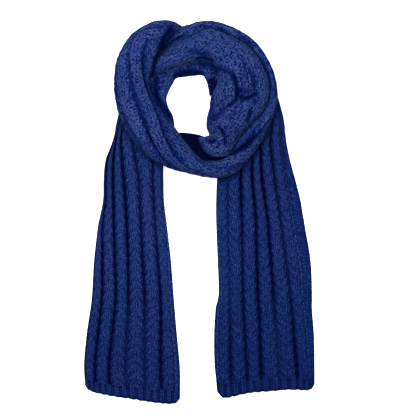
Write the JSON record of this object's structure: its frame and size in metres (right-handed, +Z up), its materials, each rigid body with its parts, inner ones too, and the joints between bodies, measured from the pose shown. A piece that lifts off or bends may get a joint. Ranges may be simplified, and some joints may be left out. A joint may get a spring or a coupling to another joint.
{
  "type": "knit scarf",
  "caption": "Long cable-knit scarf in navy wool, wound once into a ring about a neck hole and laid flat, both ribbed tails hanging down",
  "frame": {"origin": "centre of the bounding box on the surface that the scarf lies on", "axes": "+Z up from that surface, +Y from the hems of the tails towards the wound ring, +X to the right"},
  "size_m": [0.4612, 0.7661, 0.0614],
  "materials": {
    "knit_wool": "navy blue wool in chunky cable knit, slightly fuzzy, without shine",
    "hidden_wool": "the same wool, deep in the folds of the ring"
  },
  "bodies": {
    "root": {"front_band": "knit_wool", "outer_turn": "knit_wool", "inner_turn": "knit_wool", "under_turn": "knit_wool", "left_tail": "knit_wool", "left_border": "knit_wool", "right_tail": "knit_wool", "right_border": "knit_wool", "hidden_folds": "hidden_wool"}
  },
  "joints": []
}
